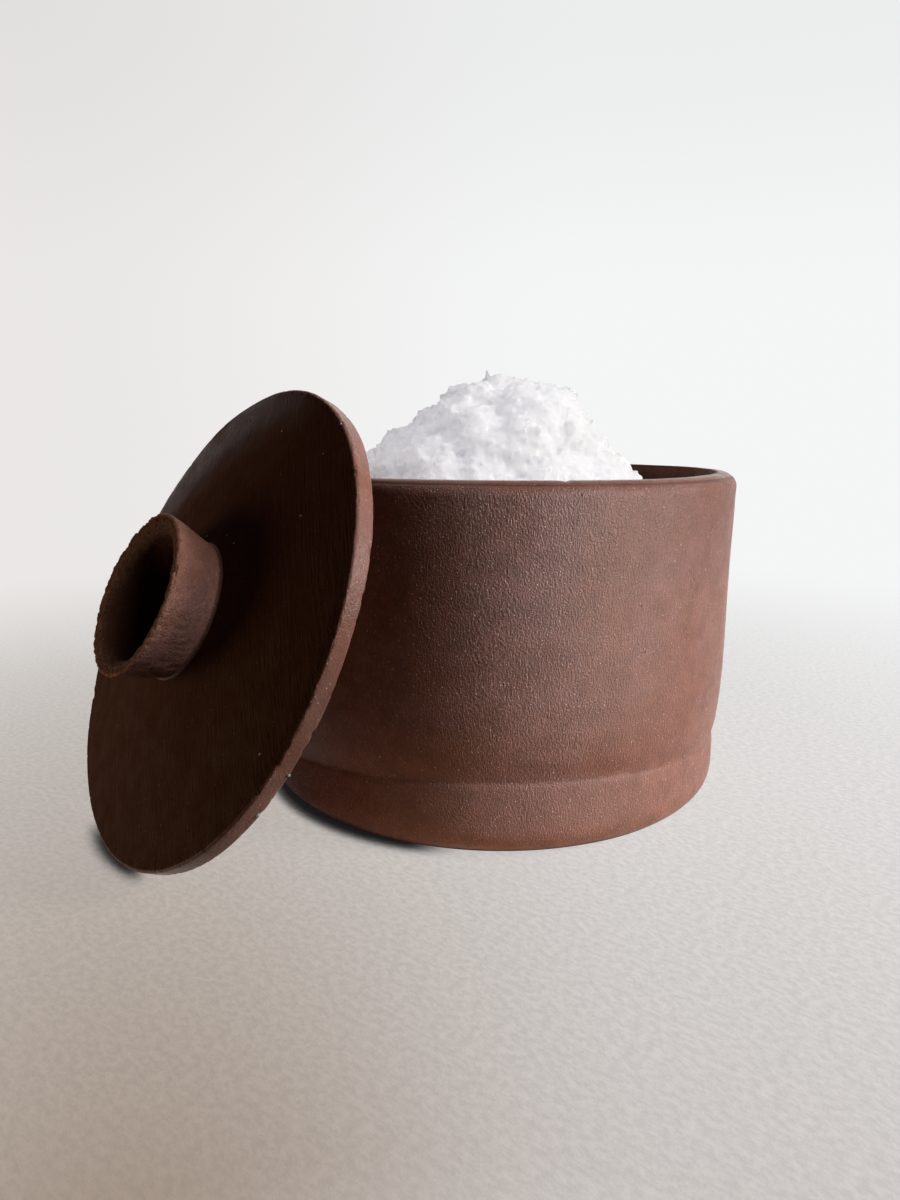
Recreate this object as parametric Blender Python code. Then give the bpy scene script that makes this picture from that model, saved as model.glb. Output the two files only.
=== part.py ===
"""Lidded salt cellar in unglazed stoneware: a straight pot on a stepped foot, heaped with salt,
with its lid taken off and leaning on the rim.

Units are metres and +Z is up. The origin is the centre of the pot's flat underside, which stands on Z = 0.
Every clay piece is turned, so each is an outline of (radius, height) points swept round its own axis.
"""
import math

import bpy
from mathutils import Matrix, Vector, noise

# Lid: a shallow cone with a square-cut edge and a flat spot that carries the knob
LID_RADIUS = 0.0434
LID_EDGE = 0.0033
LID_RISE = 0.0035
LID_EDGE_ROUND = 0.0006

# Knob: a flared ring, open at the top, luted to the lid
KNOB_FOOT_RADIUS = 0.0122
KNOB_TOP_RADIUS = 0.01455
KNOB_HEIGHT = 0.0091
KNOB_WALL = 0.0037
KNOB_ROUND = 0.0012
KNOB_SPOT_MARGIN = 0.0008

# Rim and gallery: the ledge inside the rim that the lid drops onto
RIM_CLEARANCE = 0.0007
LIP_THICKNESS = 0.0045
LIP_INNER_ROUND = 0.0007
LIP_FLAT = 0.0012
LID_SINK = 0.0003
LEDGE_WIDTH = 0.0036
LEDGE_THICKNESS = 0.0028

# Pot wall and floor
POT_HEIGHT = 0.0650
WALL_THICKNESS = 0.0052
WALL_WAIST = 0.0003
WALL_TUCK = 0.0012
WALL_TUCK_POWER = 8
FLOOR_THICKNESS = 0.0060
INSIDE_CORNER = 0.0060

# Foot band, set back below a groove
FOOT_SETBACK = 0.0015
FOOT_HEIGHT = 0.0130
FOOT_ROUND = 0.0061
FOOT_SHOULDER = 0.0050
GROOVE_DEPTH = 0.0003
GROOVE_BEVEL = 0.0028

# Salt, heaped near the axis: a straight slope on its left, a shoulder and a steep drop on its right
SALT_PEAK_RISE = 0.0179
SALT_PEAK_SHIFT = -0.0020
SALT_DROP = 0.0025
SALT_NECK_GAP = 0.0012
SALT_SLOPE_POWER = 1.17
SALT_SHOULDER_POWER = 1.76
SALT_SHOULDER_DRAW = 1.075

# Clumps of salt: long swells and rounder lumps, which stand out from a point on the axis inside the heap
SWELL_SIZE = 0.0120
SWELL_RISE = 0.0014
LUMP_SIZE = 0.0070
LUMP_RISE = 0.0034
LUMP_LEVEL = 0.25
LUMP_FADE = 0.05
LUMP_PATTERN = Vector((10.13, 23.65, 4.91))
HEART_DEPTH = 0.0136

# The lid leans in this direction, with its underside at this angle to the table
LEAN_ANGLE = math.radians(64.9)
LEAN_AZIMUTH = math.radians(220.0)
LEAN_SHIFT = -0.0037

# Space left between pieces that touch
CONTACT_GAP = 0.0003

TURN_STEPS = 64
KNOB_STEPS = 40
ARC_STEPS = 4
WALL_STEPS = 8
HEAP_RINGS = 20
HEAP_STEPS = 96
MERGE_DISTANCE = 1e-6

CLAY_COLOUR = (0.295, 0.126, 0.087, 1.0)
LID_COLOUR = (0.150, 0.065, 0.045, 1.0)
CLAY_ROUGHNESS = 0.64
SALT_COLOUR = (0.86, 0.87, 0.89, 1.0)
SALT_ROUGHNESS = 0.8

# Sizes that follow from the ones above
GALLERY_RADIUS = LID_RADIUS + RIM_CLEARANCE
POT_RADIUS = GALLERY_RADIUS + LIP_THICKNESS
LIP_ROUND = LIP_THICKNESS - LIP_INNER_ROUND - LIP_FLAT
LEDGE_RADIUS = LID_RADIUS - LEDGE_WIDTH
LEDGE_Z = POT_HEIGHT - LID_SINK - LID_EDGE
INSIDE_RADIUS = POT_RADIUS - WALL_THICKNESS
COVE_TOP_Z = LEDGE_Z - LEDGE_THICKNESS
COVE_FOOT_Z = COVE_TOP_Z - max(INSIDE_RADIUS - LEDGE_RADIUS, 0.0)
FOOT_RADIUS = POT_RADIUS - FOOT_SETBACK
WALL_FOOT_Z = FOOT_HEIGHT + GROOVE_BEVEL
SPOT_RADIUS = KNOB_FOOT_RADIUS + KNOB_SPOT_MARGIN
SPOT_Z = LID_EDGE + LID_RISE
SALT_BOTTOM_Z = FLOOR_THICKNESS + CONTACT_GAP
SALT_PEAK_Z = POT_HEIGHT + SALT_PEAK_RISE


def clear_scene():
    """Removes every object, so that the script gives the same result each time."""
    for item in list(bpy.data.objects):
        bpy.data.objects.remove(item, do_unlink=True)


def arc(centre_radius, centre_z, size, start, end):
    """Points on a round corner of an outline, from one angle to another in degrees."""
    points = []
    for step in range(ARC_STEPS + 1):
        angle = math.radians(start + (end - start) * step / ARC_STEPS)
        points.append((centre_radius + size * math.cos(angle), centre_z + size * math.sin(angle)))
    return points


def finish(name, colour, roughness):
    """A plain material with one colour and roughness."""
    material = bpy.data.materials.new(name)
    material.use_nodes = True
    shader = material.node_tree.nodes["Principled BSDF"]
    shader.inputs["Base Color"].default_value = colour
    shader.inputs["Roughness"].default_value = roughness
    shader.inputs["Metallic"].default_value = 0.0
    return material


def add_object(name, mesh, material):
    """Puts a mesh in the scene under the given name."""
    mesh.materials.append(material)
    item = bpy.data.objects.new(name, mesh)
    bpy.context.collection.objects.link(item)
    return item


def turned(name, outline, steps, material, closed=False):
    """A turned piece: the outline, which runs down its outer side, swept round the Z axis."""
    vertices = [(radius, 0.0, height) for radius, height in outline]
    edges = [(index, index + 1) for index in range(len(outline) - 1)]
    if closed:
        edges.append((len(outline) - 1, 0))
    mesh = bpy.data.meshes.new(name)
    mesh.from_pydata(vertices, edges, [])
    item = add_object(name, mesh, material)
    sweep = item.modifiers.new("Turn", "SCREW")
    sweep.axis = "Z"
    sweep.steps = steps
    sweep.render_steps = steps
    sweep.use_merge_vertices = True
    sweep.merge_threshold = MERGE_DISTANCE
    sweep.use_smooth_shade = True
    return item


def wall_outline():
    """Outer wall from the lip down to the groove: a slight waist, then a tuck towards the foot."""
    top_z = POT_HEIGHT - LIP_ROUND
    points = []
    for step in range(1, WALL_STEPS + 1):
        share = step / WALL_STEPS
        waist = WALL_WAIST * math.sin(math.pi * share)
        tuck = WALL_TUCK * share ** WALL_TUCK_POWER
        points.append((POT_RADIUS - waist - tuck, top_z + (WALL_FOOT_Z - top_z) * share))
    return points


def pot_outline():
    """Half section of the pot, from the middle of its inside floor over the lip to its underside."""
    outline = [(0.0, FLOOR_THICKNESS)]
    outline += arc(INSIDE_RADIUS - INSIDE_CORNER, FLOOR_THICKNESS + INSIDE_CORNER, INSIDE_CORNER, -90, 0)
    outline.append((INSIDE_RADIUS, COVE_FOOT_Z))
    outline.append((LEDGE_RADIUS, COVE_TOP_Z))
    outline.append((LEDGE_RADIUS, LEDGE_Z))
    outline.append((GALLERY_RADIUS, LEDGE_Z))
    inner_centre = GALLERY_RADIUS + LIP_INNER_ROUND
    outline += arc(inner_centre, POT_HEIGHT - LIP_INNER_ROUND, LIP_INNER_ROUND, 180, 90)
    outline += arc(POT_RADIUS - LIP_ROUND, POT_HEIGHT - LIP_ROUND, LIP_ROUND, 90, 0)
    outline += wall_outline()
    shoulder = max(FOOT_SHOULDER, GROOVE_DEPTH)
    groove_angle = math.acos(1.0 - GROOVE_DEPTH / shoulder)
    shoulder_z = FOOT_HEIGHT - shoulder * math.sin(groove_angle)
    outline += arc(FOOT_RADIUS - shoulder, shoulder_z, shoulder, math.degrees(groove_angle), 0)
    outline += arc(FOOT_RADIUS - FOOT_ROUND, FOOT_ROUND, FOOT_ROUND, 0, -90)
    outline.append((0.0, 0.0))
    return outline


def lid_outline():
    """Half section of the lid about its own axis, with its flat underside at height 0."""
    edge_centre = LID_RADIUS - LID_EDGE_ROUND
    outline = [(0.0, SPOT_Z), (SPOT_RADIUS, SPOT_Z)]
    outline += arc(edge_centre, LID_EDGE - LID_EDGE_ROUND, LID_EDGE_ROUND, 80, 0)
    outline += arc(edge_centre, LID_EDGE_ROUND, LID_EDGE_ROUND, 0, -90)
    outline.append((0.0, 0.0))
    return outline


def knob_outline():
    """Closed half section of the ring knob, standing on the lid's flat spot."""
    foot_z = SPOT_Z + CONTACT_GAP
    top_z = SPOT_Z + KNOB_HEIGHT
    round_size = min(KNOB_ROUND, KNOB_WALL / 2)
    bore_foot = KNOB_FOOT_RADIUS - KNOB_WALL
    bore_top = KNOB_TOP_RADIUS - KNOB_WALL
    outline = arc(bore_top + round_size, top_z - round_size, round_size, 180, 90)
    outline += arc(KNOB_TOP_RADIUS - round_size, top_z - round_size, round_size, 90, 0)
    outline.append((KNOB_FOOT_RADIUS, foot_z))
    outline.append((bore_foot, foot_z))
    return outline


def lean_matrix():
    """Pose of the leaning lid: its lower edge on the table, its underside on the rim.

    On a pot too tall for that, the lid's upper edge rests on the wall instead.
    """
    across = math.sin(LEAN_ANGLE)
    upward = math.cos(LEAN_ANGLE)
    lift = max(radius * across - height * upward for radius, height in lid_outline())
    lip_reach = (POT_RADIUS - LIP_ROUND) * across + (POT_HEIGHT - LIP_ROUND) * upward + LIP_ROUND
    on_rim = (lip_reach + CONTACT_GAP - lift * upward) / across
    on_wall = POT_RADIUS + CONTACT_GAP + LID_RADIUS * upward
    distance = min(on_rim, on_wall)
    turn = Matrix.Rotation(LEAN_AZIMUTH, 4, "Z")
    return turn @ Matrix.Translation((distance, LEAN_SHIFT, lift)) @ Matrix.Rotation(LEAN_ANGLE, 4, "Y")


def heap_share(share, azimuth):
    """Height of the heap above its neck, as a share of its peak, at a share of its radius."""
    slope = 1.0 - share ** SALT_SLOPE_POWER
    drawn = min(share * SALT_SHOULDER_DRAW, 1.0)
    shoulder = 0.5 + 0.5 * math.cos(math.pi * drawn ** SALT_SHOULDER_POWER)
    rightness = 0.5 + 0.5 * math.cos(azimuth)
    return slope + (shoulder - slope) * rightness


def lump_rise(place):
    """How far the clumps stand out at a place on the heap."""
    swell = noise.noise(place / SWELL_SIZE + LUMP_PATTERN)
    from_middle = noise.voronoi(place / LUMP_SIZE + LUMP_PATTERN)[0][0]
    return SWELL_RISE * swell + LUMP_RISE * (LUMP_LEVEL - from_middle ** 2)


def heap_point(share, azimuth):
    """A point on the clumpy top of the salt, at a share of its radius. The clumps end at its neck."""
    radius = share * (min(LEDGE_RADIUS, INSIDE_RADIUS) - SALT_NECK_GAP)
    across = radius * math.cos(azimuth) + SALT_PEAK_SHIFT * (1.0 - share)
    height = COVE_TOP_Z + (SALT_PEAK_Z - COVE_TOP_Z) * heap_share(share, azimuth)
    place = Vector((across, radius * math.sin(azimuth), height))
    outward = (place - Vector((0.0, 0.0, COVE_TOP_Z - HEART_DEPTH))).normalized()
    return place + outward * lump_rise(place) * min((1.0 - share) / LUMP_FADE, 1.0)


def salt_column(azimuth):
    """Points up the outside of the salt at one azimuth: up the wall, in under the ledge, then up the heap."""
    wall_radius = INSIDE_RADIUS - CONTACT_GAP
    points = arc(wall_radius - INSIDE_CORNER, SALT_BOTTOM_Z + INSIDE_CORNER, INSIDE_CORNER, -90, 0)
    points.append((wall_radius, COVE_FOOT_Z - SALT_DROP))
    column = [(radius * math.cos(azimuth), radius * math.sin(azimuth), height) for radius, height in points]
    return column + [heap_point(1.0 - ring / HEAP_RINGS, azimuth) for ring in range(HEAP_RINGS)]


def salt_heap(material):
    """The salt as one closed solid: columns joined by quads, with a fan at the bottom and at the peak."""
    columns = [salt_column(2.0 * math.pi * step / HEAP_STEPS) for step in range(HEAP_STEPS)]
    count = len(columns[0])
    vertices = [point for column in columns for point in column]
    bottom = len(vertices)
    peak = bottom + 1
    vertices.append((0.0, 0.0, SALT_BOTTOM_Z))
    vertices.append(heap_point(0.0, 0.0))
    faces = []
    for step in range(HEAP_STEPS):
        here = step * count
        there = (step + 1) % HEAP_STEPS * count
        faces.append((bottom, there, here))
        for point in range(count - 1):
            faces.append((here + point, there + point, there + point + 1, here + point + 1))
        faces.append((here + count - 1, there + count - 1, peak))
    mesh = bpy.data.meshes.new("salt_heap")
    mesh.from_pydata(vertices, [], faces)
    mesh.shade_smooth()
    return add_object("salt_heap", mesh, material)


def main():
    clear_scene()
    turned("pot", pot_outline(), TURN_STEPS, finish("pot_clay", CLAY_COLOUR, CLAY_ROUGHNESS))
    salt_heap(finish("salt", SALT_COLOUR, SALT_ROUGHNESS))

    # The lid's pieces hang on an empty at the middle of the lid's underside, where the lift acts
    lid = bpy.data.objects.new("lid_pose", None)
    bpy.context.collection.objects.link(lid)
    lid.matrix_world = lean_matrix()
    disc_clay = finish("lid_clay", LID_COLOUR, CLAY_ROUGHNESS)
    disc = turned("lid_disc", lid_outline(), TURN_STEPS, disc_clay)
    knob_clay = finish("knob_clay", LID_COLOUR, CLAY_ROUGHNESS)
    knob = turned("lid_knob", knob_outline(), KNOB_STEPS, knob_clay, closed=True)
    disc.parent = lid
    knob.parent = lid


main()
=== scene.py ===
"""Looks of the lidded salt cellar: a pot and lid of unglazed stoneware, and the salt heaped in the pot.

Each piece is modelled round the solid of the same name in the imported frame, and replaces it.
Units are metres and +Z is up. The origin is the centre of the pot's underside, on the table.
"""
import math

import bmesh
import bpy
import numpy as np
from mathutils import Matrix, Vector, noise
from mathutils.bvhtree import BVHTree


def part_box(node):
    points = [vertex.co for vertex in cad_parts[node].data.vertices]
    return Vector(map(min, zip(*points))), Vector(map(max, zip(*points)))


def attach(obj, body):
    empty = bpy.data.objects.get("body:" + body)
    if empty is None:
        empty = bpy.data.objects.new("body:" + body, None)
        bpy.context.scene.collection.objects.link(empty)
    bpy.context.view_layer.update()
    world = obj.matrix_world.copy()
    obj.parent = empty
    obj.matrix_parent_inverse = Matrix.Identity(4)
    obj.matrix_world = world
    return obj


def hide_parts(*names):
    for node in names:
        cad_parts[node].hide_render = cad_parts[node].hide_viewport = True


# The photograph's frame and the camera fitted to it
PHOTO_WIDTH = 900
PHOTO_HEIGHT = 1200
SENSOR_LONG_SIDE = 36.0
CAMERA_FOCAL_PX = 869.3
CAMERA_PLACE = (0.0, -0.18457, 0.07266)
CAMERA_PITCH = math.radians(11.01)
CAMERA_YAW = math.radians(-2.78)
CAMERA_ROLL = math.radians(0.35)
CAMERA_CLIP = (0.005, 20.0)

# Pot sections that the frame's boxes don't give
LIP_THICKNESS = 0.0045
LIP_INNER_ROUND = 0.0007
LIP_OUTER_ROUND = 0.0026
LEDGE_RADIUS = 0.0398
LEDGE_DEPTH = 0.0036
LEDGE_THICKNESS = 0.0028
WALL_THICKNESS = 0.0052
WALL_WAIST = 0.0003
WALL_TUCK = 0.0012
WALL_TUCK_POWER = 8
WALL_STEPS = 40
FLOOR_THICKNESS = 0.0060
INSIDE_CORNER = 0.0060
FOOT_SETBACK = 0.0015
FOOT_HEIGHT = 0.0130
FOOT_ROUND = 0.0061
FOOT_SHOULDER = 0.0050
GROOVE_DEPTH = 0.0003
GROOVE_BEVEL = 0.0028
GROOVE_TUCK = 0.25
GROOVE_TUCK_RISE = 0.0009

# Mesh sizes
POT_COLUMNS = 350
POT_SPACING = 0.00058
FINE_SPACING = 0.00020
HIDDEN_SPACING = 0.0030
LID_COLUMNS = 640
LID_SPACING = 0.00042
KNOB_COLUMNS = 400
KNOB_SPACING = 0.00022

# Hand-made unevenness of the pot. A relief is a depth, the size of its lumps and its place in the noise.
# An oval is how often it rises round the piece, its height and its turn
POT_OVAL = (2.0, 0.00012, 0.6)
POT_THREE_SIDED = (3.0, 0.00007, -1.1)
POT_RELIEFS = ((0.00006, 0.014, 3), (0.00003, 0.005, 4))
WALL_RELIEFS = ((0.000012, 0.0017, 5), (0.000010, 0.0008, 6))
RING_HEIGHT = 0.0052
RING_DEPTH = 0.00002
RING_SWAY = (0.5, 0.03, 1)
RING_SHARE = 0.6
RING_PATCHES = (1.0, 0.02, 2)
GROOVE_WANDER = 0.0015
GROOVE_FRONT = math.radians(-82.0)
GROOVE_SWAY = (0.0003, 0.011, 8)
GROOVE_REACH = 0.006
GROOVE_LINE_WIDTH = 0.00035
GROOVE_LINE_DEPTH = 0.00004
GROOVE_LINE_SHARE = 0.55
GROOVE_LINE_PATCHES = (1.2, 0.006, 9)
GROOVE_SOFT_REACH = 0.0022
GROOVE_SOFT_PASSES = 14
LIP_LINE_DROP = 0.00062
LIP_LINE_DEPTH = 0.00012
LIP_LINE_WIDTH = 0.00015
LIP_LINE_SHARE = 0.75
LIP_LINE_PATCHES = (0.5, 0.009, 7)
NICK_ANGLE = math.radians(-75.3)
NICK_WIDTH = 0.0005
NICK_HEIGHT = 0.0006
NICK_DEPTH = 0.0003

# Where the pot's zones begin, and over what length they fade in
OUTSIDE_FADE = (0.0012, 0.0008)
STANDING_FADE = 0.0040
LIP_FADE = 0.0004
UNDERSIDE_FADE = 0.0020
FOOT_FADE = 0.0006
FOOT_SAND_FROM = 0.0020
# Where the painted shade on the upper right of the wall begins, and how far it fades in
UPPER_RIGHT_SHADE_FADE = (0.040, 0.020)

# Lid and knob, about the lid's own axis
LID_EDGE = 0.0033
LID_RISE = 0.0035
LID_EDGE_ROUND = 0.0006
KNOB_FOOT_RADIUS = 0.0122
KNOB_TOP_RADIUS = 0.01455
KNOB_HEIGHT = 0.0091
KNOB_WALL = 0.0037
KNOB_OUTER_ROUND = 0.0005
KNOB_INNER_ROUND = 0.0030
KNOB_SPOT_MARGIN = 0.0008
SLIP_FILLET = 0.0004
SLIP_SINK = 0.0001
LEAN_ANGLE = math.radians(64.9)
LEAN_AZIMUTH = math.radians(220.0)

# Unevenness of the lid and knob. A chip is the size of its lumps, its place in the noise and its level there
EDGE_WANDER = 0.00022
EDGE_SWAY = (1.0, 0.013, 11)
EDGE_OVAL = (2.0, 0.6, 0.9)
EDGE_INSET = 0.3
EDGE_CHIP = 0.00055
EDGE_CHIPS = ((0.0014, 12, 0.28), (0.0006, 13, 0.3))
CORNER_REACH = 0.0007
BEVEL_DROP = 0.0006
LID_RELIEFS = ((0.00003, 0.009, 14), (0.000016, 0.0016, 15))
KNOB_OVAL = (2.0, 0.00012, 2.2)
KNOB_RELIEFS = ((0.0001, 0.008, 21), (0.00010, 0.0024, 22), (0.00012, 0.0009, 23), (0.00005, 0.0005, 26))
CROWN_REACH = 0.0010
CROWN_CHIP = 0.00042
CROWN_CHIPS = ((0.0010, 24, 0.10), (0.0005, 25, 0.0))

# Where the zones of the lid and knob begin, and over what length they fade in
EDGE_BAND = 0.0015
SPOT_FADE = 0.0040
ON_EDGE_FADE = (0.0001, 0.0003)
IN_KNOB_FADE = 0.0010
# The lid's edge is painted paler where it faces uphill and downhill: a painted highlight at the top and
# painted bounce light at the bottom
UPHILL_SPREAD = (1.4, 0.0)
DOWNHILL_SPREAD = (1.6, 0.4)
# Painted sheen: a paler patch on the lid's face near its upper-left rim stands for a reflection
PAINTED_SHEEN_ANGLE = math.radians(225.0)
PAINTED_SHEEN_SPREAD = (1.6, 0.6)
PAINTED_SHEEN_POWER = 3
INWARD_FADE = (0.0004, 0.0004)
RING_FADE = (-0.0005, 0.0004)
BORE_FADE = (0.0006, 0.0015)
# How fast the painted shade deepens down the knob's bore
BORE_SHADE_DEEPENING = 2.2
UPPER_WALL = 1.6
KNOB_FOOT_FADE = 0.0010
# How far the painted shade at the knob's foot reaches
KNOB_FOOT_SHADE_FADE = (0.0004, 0.0005)

# Salt heap. A cobble is its rise, the size of its lumps and its place in the noise
SALT_NECK_GAP = 0.0012
SALT_DROP = 0.0025
SALT_PEAK_RISE = 0.0179
SALT_PEAK_SHIFT = -0.0020
SALT_SLOPE_POWER = 1.17
SALT_SHOULDER_POWER = 1.76
SALT_SHOULDER_DRAW = 1.075
LUMP_PATTERN = Vector((10.13, 23.65, 4.91))
SWELL = (0.0014, 0.0120, LUMP_PATTERN)
COBBLES = ((0.0034, 0.0070, LUMP_PATTERN), (0.0010, 0.0028, LUMP_PATTERN), (0.0005, 0.0013, 34))
COBBLE_LEVEL = 0.75
LUMP_FADE = 0.05
HEART_DEPTH = 0.0136
SALT_SKIN = 0.0001
CLUMP_SIZE = 0.0017
CLUMPS = (
    ((-0.0205, -0.0052, 0.0715), 0.0013),
    ((-0.0178, -0.0020, 0.0738), -0.0011),
    ((-0.0090, -0.0009, 0.0794), 0.0028),
    ((-0.0067, -0.0010, 0.0807), 0.0014),
    ((-0.0012, -0.0003, 0.0829), 0.0010),
)
SALT_GRID = 220
SALT_VOXEL = 0.00036
SALT_CUT_DROP = 0.0012
CONTACT_GAP = 0.0003

# Flakes of salt: how many, how large, and how far they stand off the heap
SALT_FLAKES = 5200
SALT_PLATES = 420
FLAKE_SCATTER = 0.00015
FLAKE_LIFT = 0.0002
FLAKE_SIZE = 0.00052
FLAKE_SIZE_SPREAD = 0.42
FLAKE_SIZES = (0.0003, 0.0012)
PLATE_SIZES = (0.0008, 0.0015)
FLAKE_TILTS = (0.25, 0.85)
FLAKE_SIDES = (4, 7)
FLAKE_THICKNESS = 0.0003
FLAKE_THICKER = 0.5
FLAKE_CORNERS = 0.3
FLAKE_REACHES = (0.55, 1.1)
FLAKE_TAPERS = (0.7, 1.0)
SALT_SPIKE = (-0.0014, -0.0004)
SALT_SPIKE_SIZE = 0.0015
SALT_SPIKE_FACING = (0.8, -0.6, 0.2)

# Crumbs of salt on the lid: where they are in the photograph, and how large
CRUMB_PIXELS = ((258, 815), (289, 775), (311, 744))
CRUMB_SIZE = 0.00042
SPECK_PIXELS = (
    (301, 516), (282, 431), (323, 454), (341, 424),
    (207, 536), (227, 535), (234, 543), (260, 754),
)
SPECK_SIZE = 0.00020
CRUMB_TILT = 0.4

# Colours, as linear light
CLAY_RUST = (0.409, 0.187, 0.135, 1.0)
CLAY_ROSE = (0.438, 0.220, 0.183, 1.0)
# The dark colour that painted shade mixes the clay towards
CLAY_PAINTED_SHADE = (0.050, 0.014, 0.004, 1.0)
CLAY_SPECK = (0.80, 0.65, 0.54, 1.0)
CLAY_SHEEN = (1.0, 0.90, 0.86, 1.0)
# The dark colour of the pits is painted shade in them
CLAY_PIT_SHADE = (0.045, 0.024, 0.019, 1.0)
SALT_WHITE = (0.93, 0.935, 0.945, 1.0)
SALT_SHADE = (0.87, 0.87, 0.89, 1.0)

# How far each zone of the clay keeps its full colour; a zone made darker is painted shade, a zone made paler
# is painted light
# Painted shade inside the pot and under the middle of its underside
POT_INSIDE_PAINTED_SHADE = 0.36
# Painted shade on the lip band, and in the creases below the lip and at the groove
LIP_BAND_PAINTED_SHADE = 0.92
LIP_LINE_PAINTED_SHADE = 0.65
GROOVE_LINE_PAINTED_SHADE = 0.18
# Painted shade on the upper right of the pot's wall
UPPER_RIGHT_PAINTED_SHADE = 0.27
# The lid's face is the pot's clay made much darker: painted shade
LID_FACE_PAINTED_SHADE = 0.04
# The lid's edge is painted darker as shade, and paler at its top and bottom as painted light
LID_EDGE_PAINTED_SHADE = 0.42
LID_EDGE_PAINTED_LIGHT = 1.0
# How much paler the painted sheen on the lid's upper-left face is
PAINTED_SHEEN_TONE = 0.22
# Painted shade on a strip of the lid's edge just below its face-side corner, on the downhill side
BEVEL_STRIP_PAINTED_SHADE = 0.45
# Painted shade in the chips along the lid's corners
CHIP_PAINTED_SHADE = 0.45
KNOB_WALL_TONE = 0.90
# Painted shade on the knob's ring top and down its bore, and on the lid inside the knob
KNOB_RING_PAINTED_SHADE = 0.24
KNOB_BORE_PAINTED_SHADE = 0.02
# Painted shade at the knob's foot, where it meets the lid
KNOB_FOOT_PAINTED_SHADE = 0.15

# How rough the grain of each zone is, what share of pale grit it shows and how dull it is
LIP_GRAIN = 0.15
WALL_GRIT = 0.50
FOOT_GRIT = 0.50
FOOT_SANDY_SIDE = (0.75, 0.25)
FOOT_CLEAN_GRIT = 0.45
POT_INSIDE_DULL = 0.45
LID_FACE_GRAIN = 0.90
LID_EDGE_SMOOTHER = 0.55
LID_FACE_GRIT = 0.15
LID_EDGE_GRIT = 0.10
LID_CORNER_GRIT = 0.45
KNOB_GRAIN = 1.0
KNOB_UPPER_GRAIN = 1.2
KNOB_GRIT = 0.60
KNOB_BORE_CLEANER = 0.50
KNOB_CROWN_GRIT = 0.30

# Texture of the clay: sizes, ranges of the noise and what they turn into
HUE_SIZE = 0.016
HUE_RANGE = (0.35, 0.65)
STREAK_SIZE = 0.00026
STREAK_SHARE = 0.6
PATCH_SIZE = 0.0035
PATCH_SHARE = 0.4
LIGHT_RANGE = (0.30, 0.70)
LIGHT_TONES = (0.76, 1.22)
FINE_SPECKS = (0.00072, 0.00014)
BOLD_SPECKS = (0.0027, 0.00022)
SPECK_EDGE = 0.55
SPECK_TONES = (0.0, 0.8, 0.2, 1.0)
SPECK_STRENGTH = 0.75
PITS = (0.0061, 0.00024)
PIT_SHARE = 0.30
# How dark the pits are painted, as shade
PIT_SHADE_STRENGTH = 0.8
SAND_SIZE = 0.00031
SAND_ROUGHNESS = 0.65
SAND_RISE = 1.2
SPECK_RISE = 0.55
PIT_DEPTH = 0.9
BRUSH_ANGLE = math.radians(-39.0)
BRUSH_STRETCH = (0.05, 1.0, 1.0)
BRUSH_SIZE = 0.00045
CLAY_BUMP = 0.00014
SHINE_SIZE = 0.004
SHINE_RANGE = (0.3, 0.7)
SHINES = (0.27, 0.39)
DARK_DULL = (0.02, 0.14, 0.5, 0.0)
GRITTY_DULL = (0.60, 0.95, 0.0, 0.25)
SMOOTH_DULL = (0.20, 0.60, -0.08, 0.0)

# Texture of the salt
SALT_PATCH_SIZE = 0.0022
SALT_PATCH_RANGE = (0.35, 0.65)
CRYSTAL_SIZE = 0.00045
CRYSTAL_RANGE = (0.3, 0.7)
CRYSTAL_SHINES = (0.35, 0.60)
CRYSTAL_BUMP = 0.00012
CRYSTAL_BUMP_STRENGTH = 0.35
SALT_GLOSS = 0.3
SALT_SCATTER = (1.0, 1.0, 1.0)
SALT_SCATTER_REACH = 0.006

# Stage: a paper floor, seen paler than it throws light back, with the light's falloff painted into its colour
# and a contact shadow painted into its glow on the left
FLOOR_REACH = 1.1
FLOOR_CORNERS = 64
FLOOR_FADE = (0.06, 0.34)
# The light's falloff painted into the paper: paler far off and on the right, warmer and darker near the
# camera's place and on the left
FLOOR_FAR_LEFT = (0.80, 0.78, 0.765, 1.0)
FLOOR_FAR_RIGHT = (0.90, 0.905, 0.91, 1.0)
FLOOR_NEAR_LEFT = (0.310, 0.225, 0.160, 1.0)
FLOOR_NEAR_RIGHT = (0.590, 0.548, 0.527, 1.0)
FLOOR_NEAR_DISTANCE = 0.077
FLOOR_NEAR_POWER = 0.85
FLOOR_SIDES = (-0.52, 0.52)
FLOOR_NEAR_SIDES = (-0.52, 0.26)
BOUNCE_LEFT = (0.55, 0.35, 0.23, 1.0)
BOUNCE_RIGHT = (0.95, 0.72, 0.45, 1.0)
BOUNCE_SIDES = (-0.035, 0.0)
BOUNCE_REACH = (0.120, 0.055)
PAPER_TOOTH = 0.0015
PAPER_TURN = math.radians(35.0)
PAPER_STRETCH = (1.0, 1.6, 1.0)
PAPER_RANGE = (0.32, 0.68)
PAPER_TONES = (0.93, 1.06)
PAPER_BUMP = 0.00045
FLOOR_GLOW = 0.855
FLOOR_SHADE = (0.22, 0.22, 0.22, 1.0)
CONTACT_REACH = 0.0045
CONTACT_CORE = 0.02
CONTACT_TINT = (0.96, 1.0, 1.06, 1.0)
CONTACT_SIDE = (0.84, -0.48, 0.25)
CONTACT_RANGE = (0.92, 0.55)
CONTACT_DARK_SIDE = (-0.002, -0.016)

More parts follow.
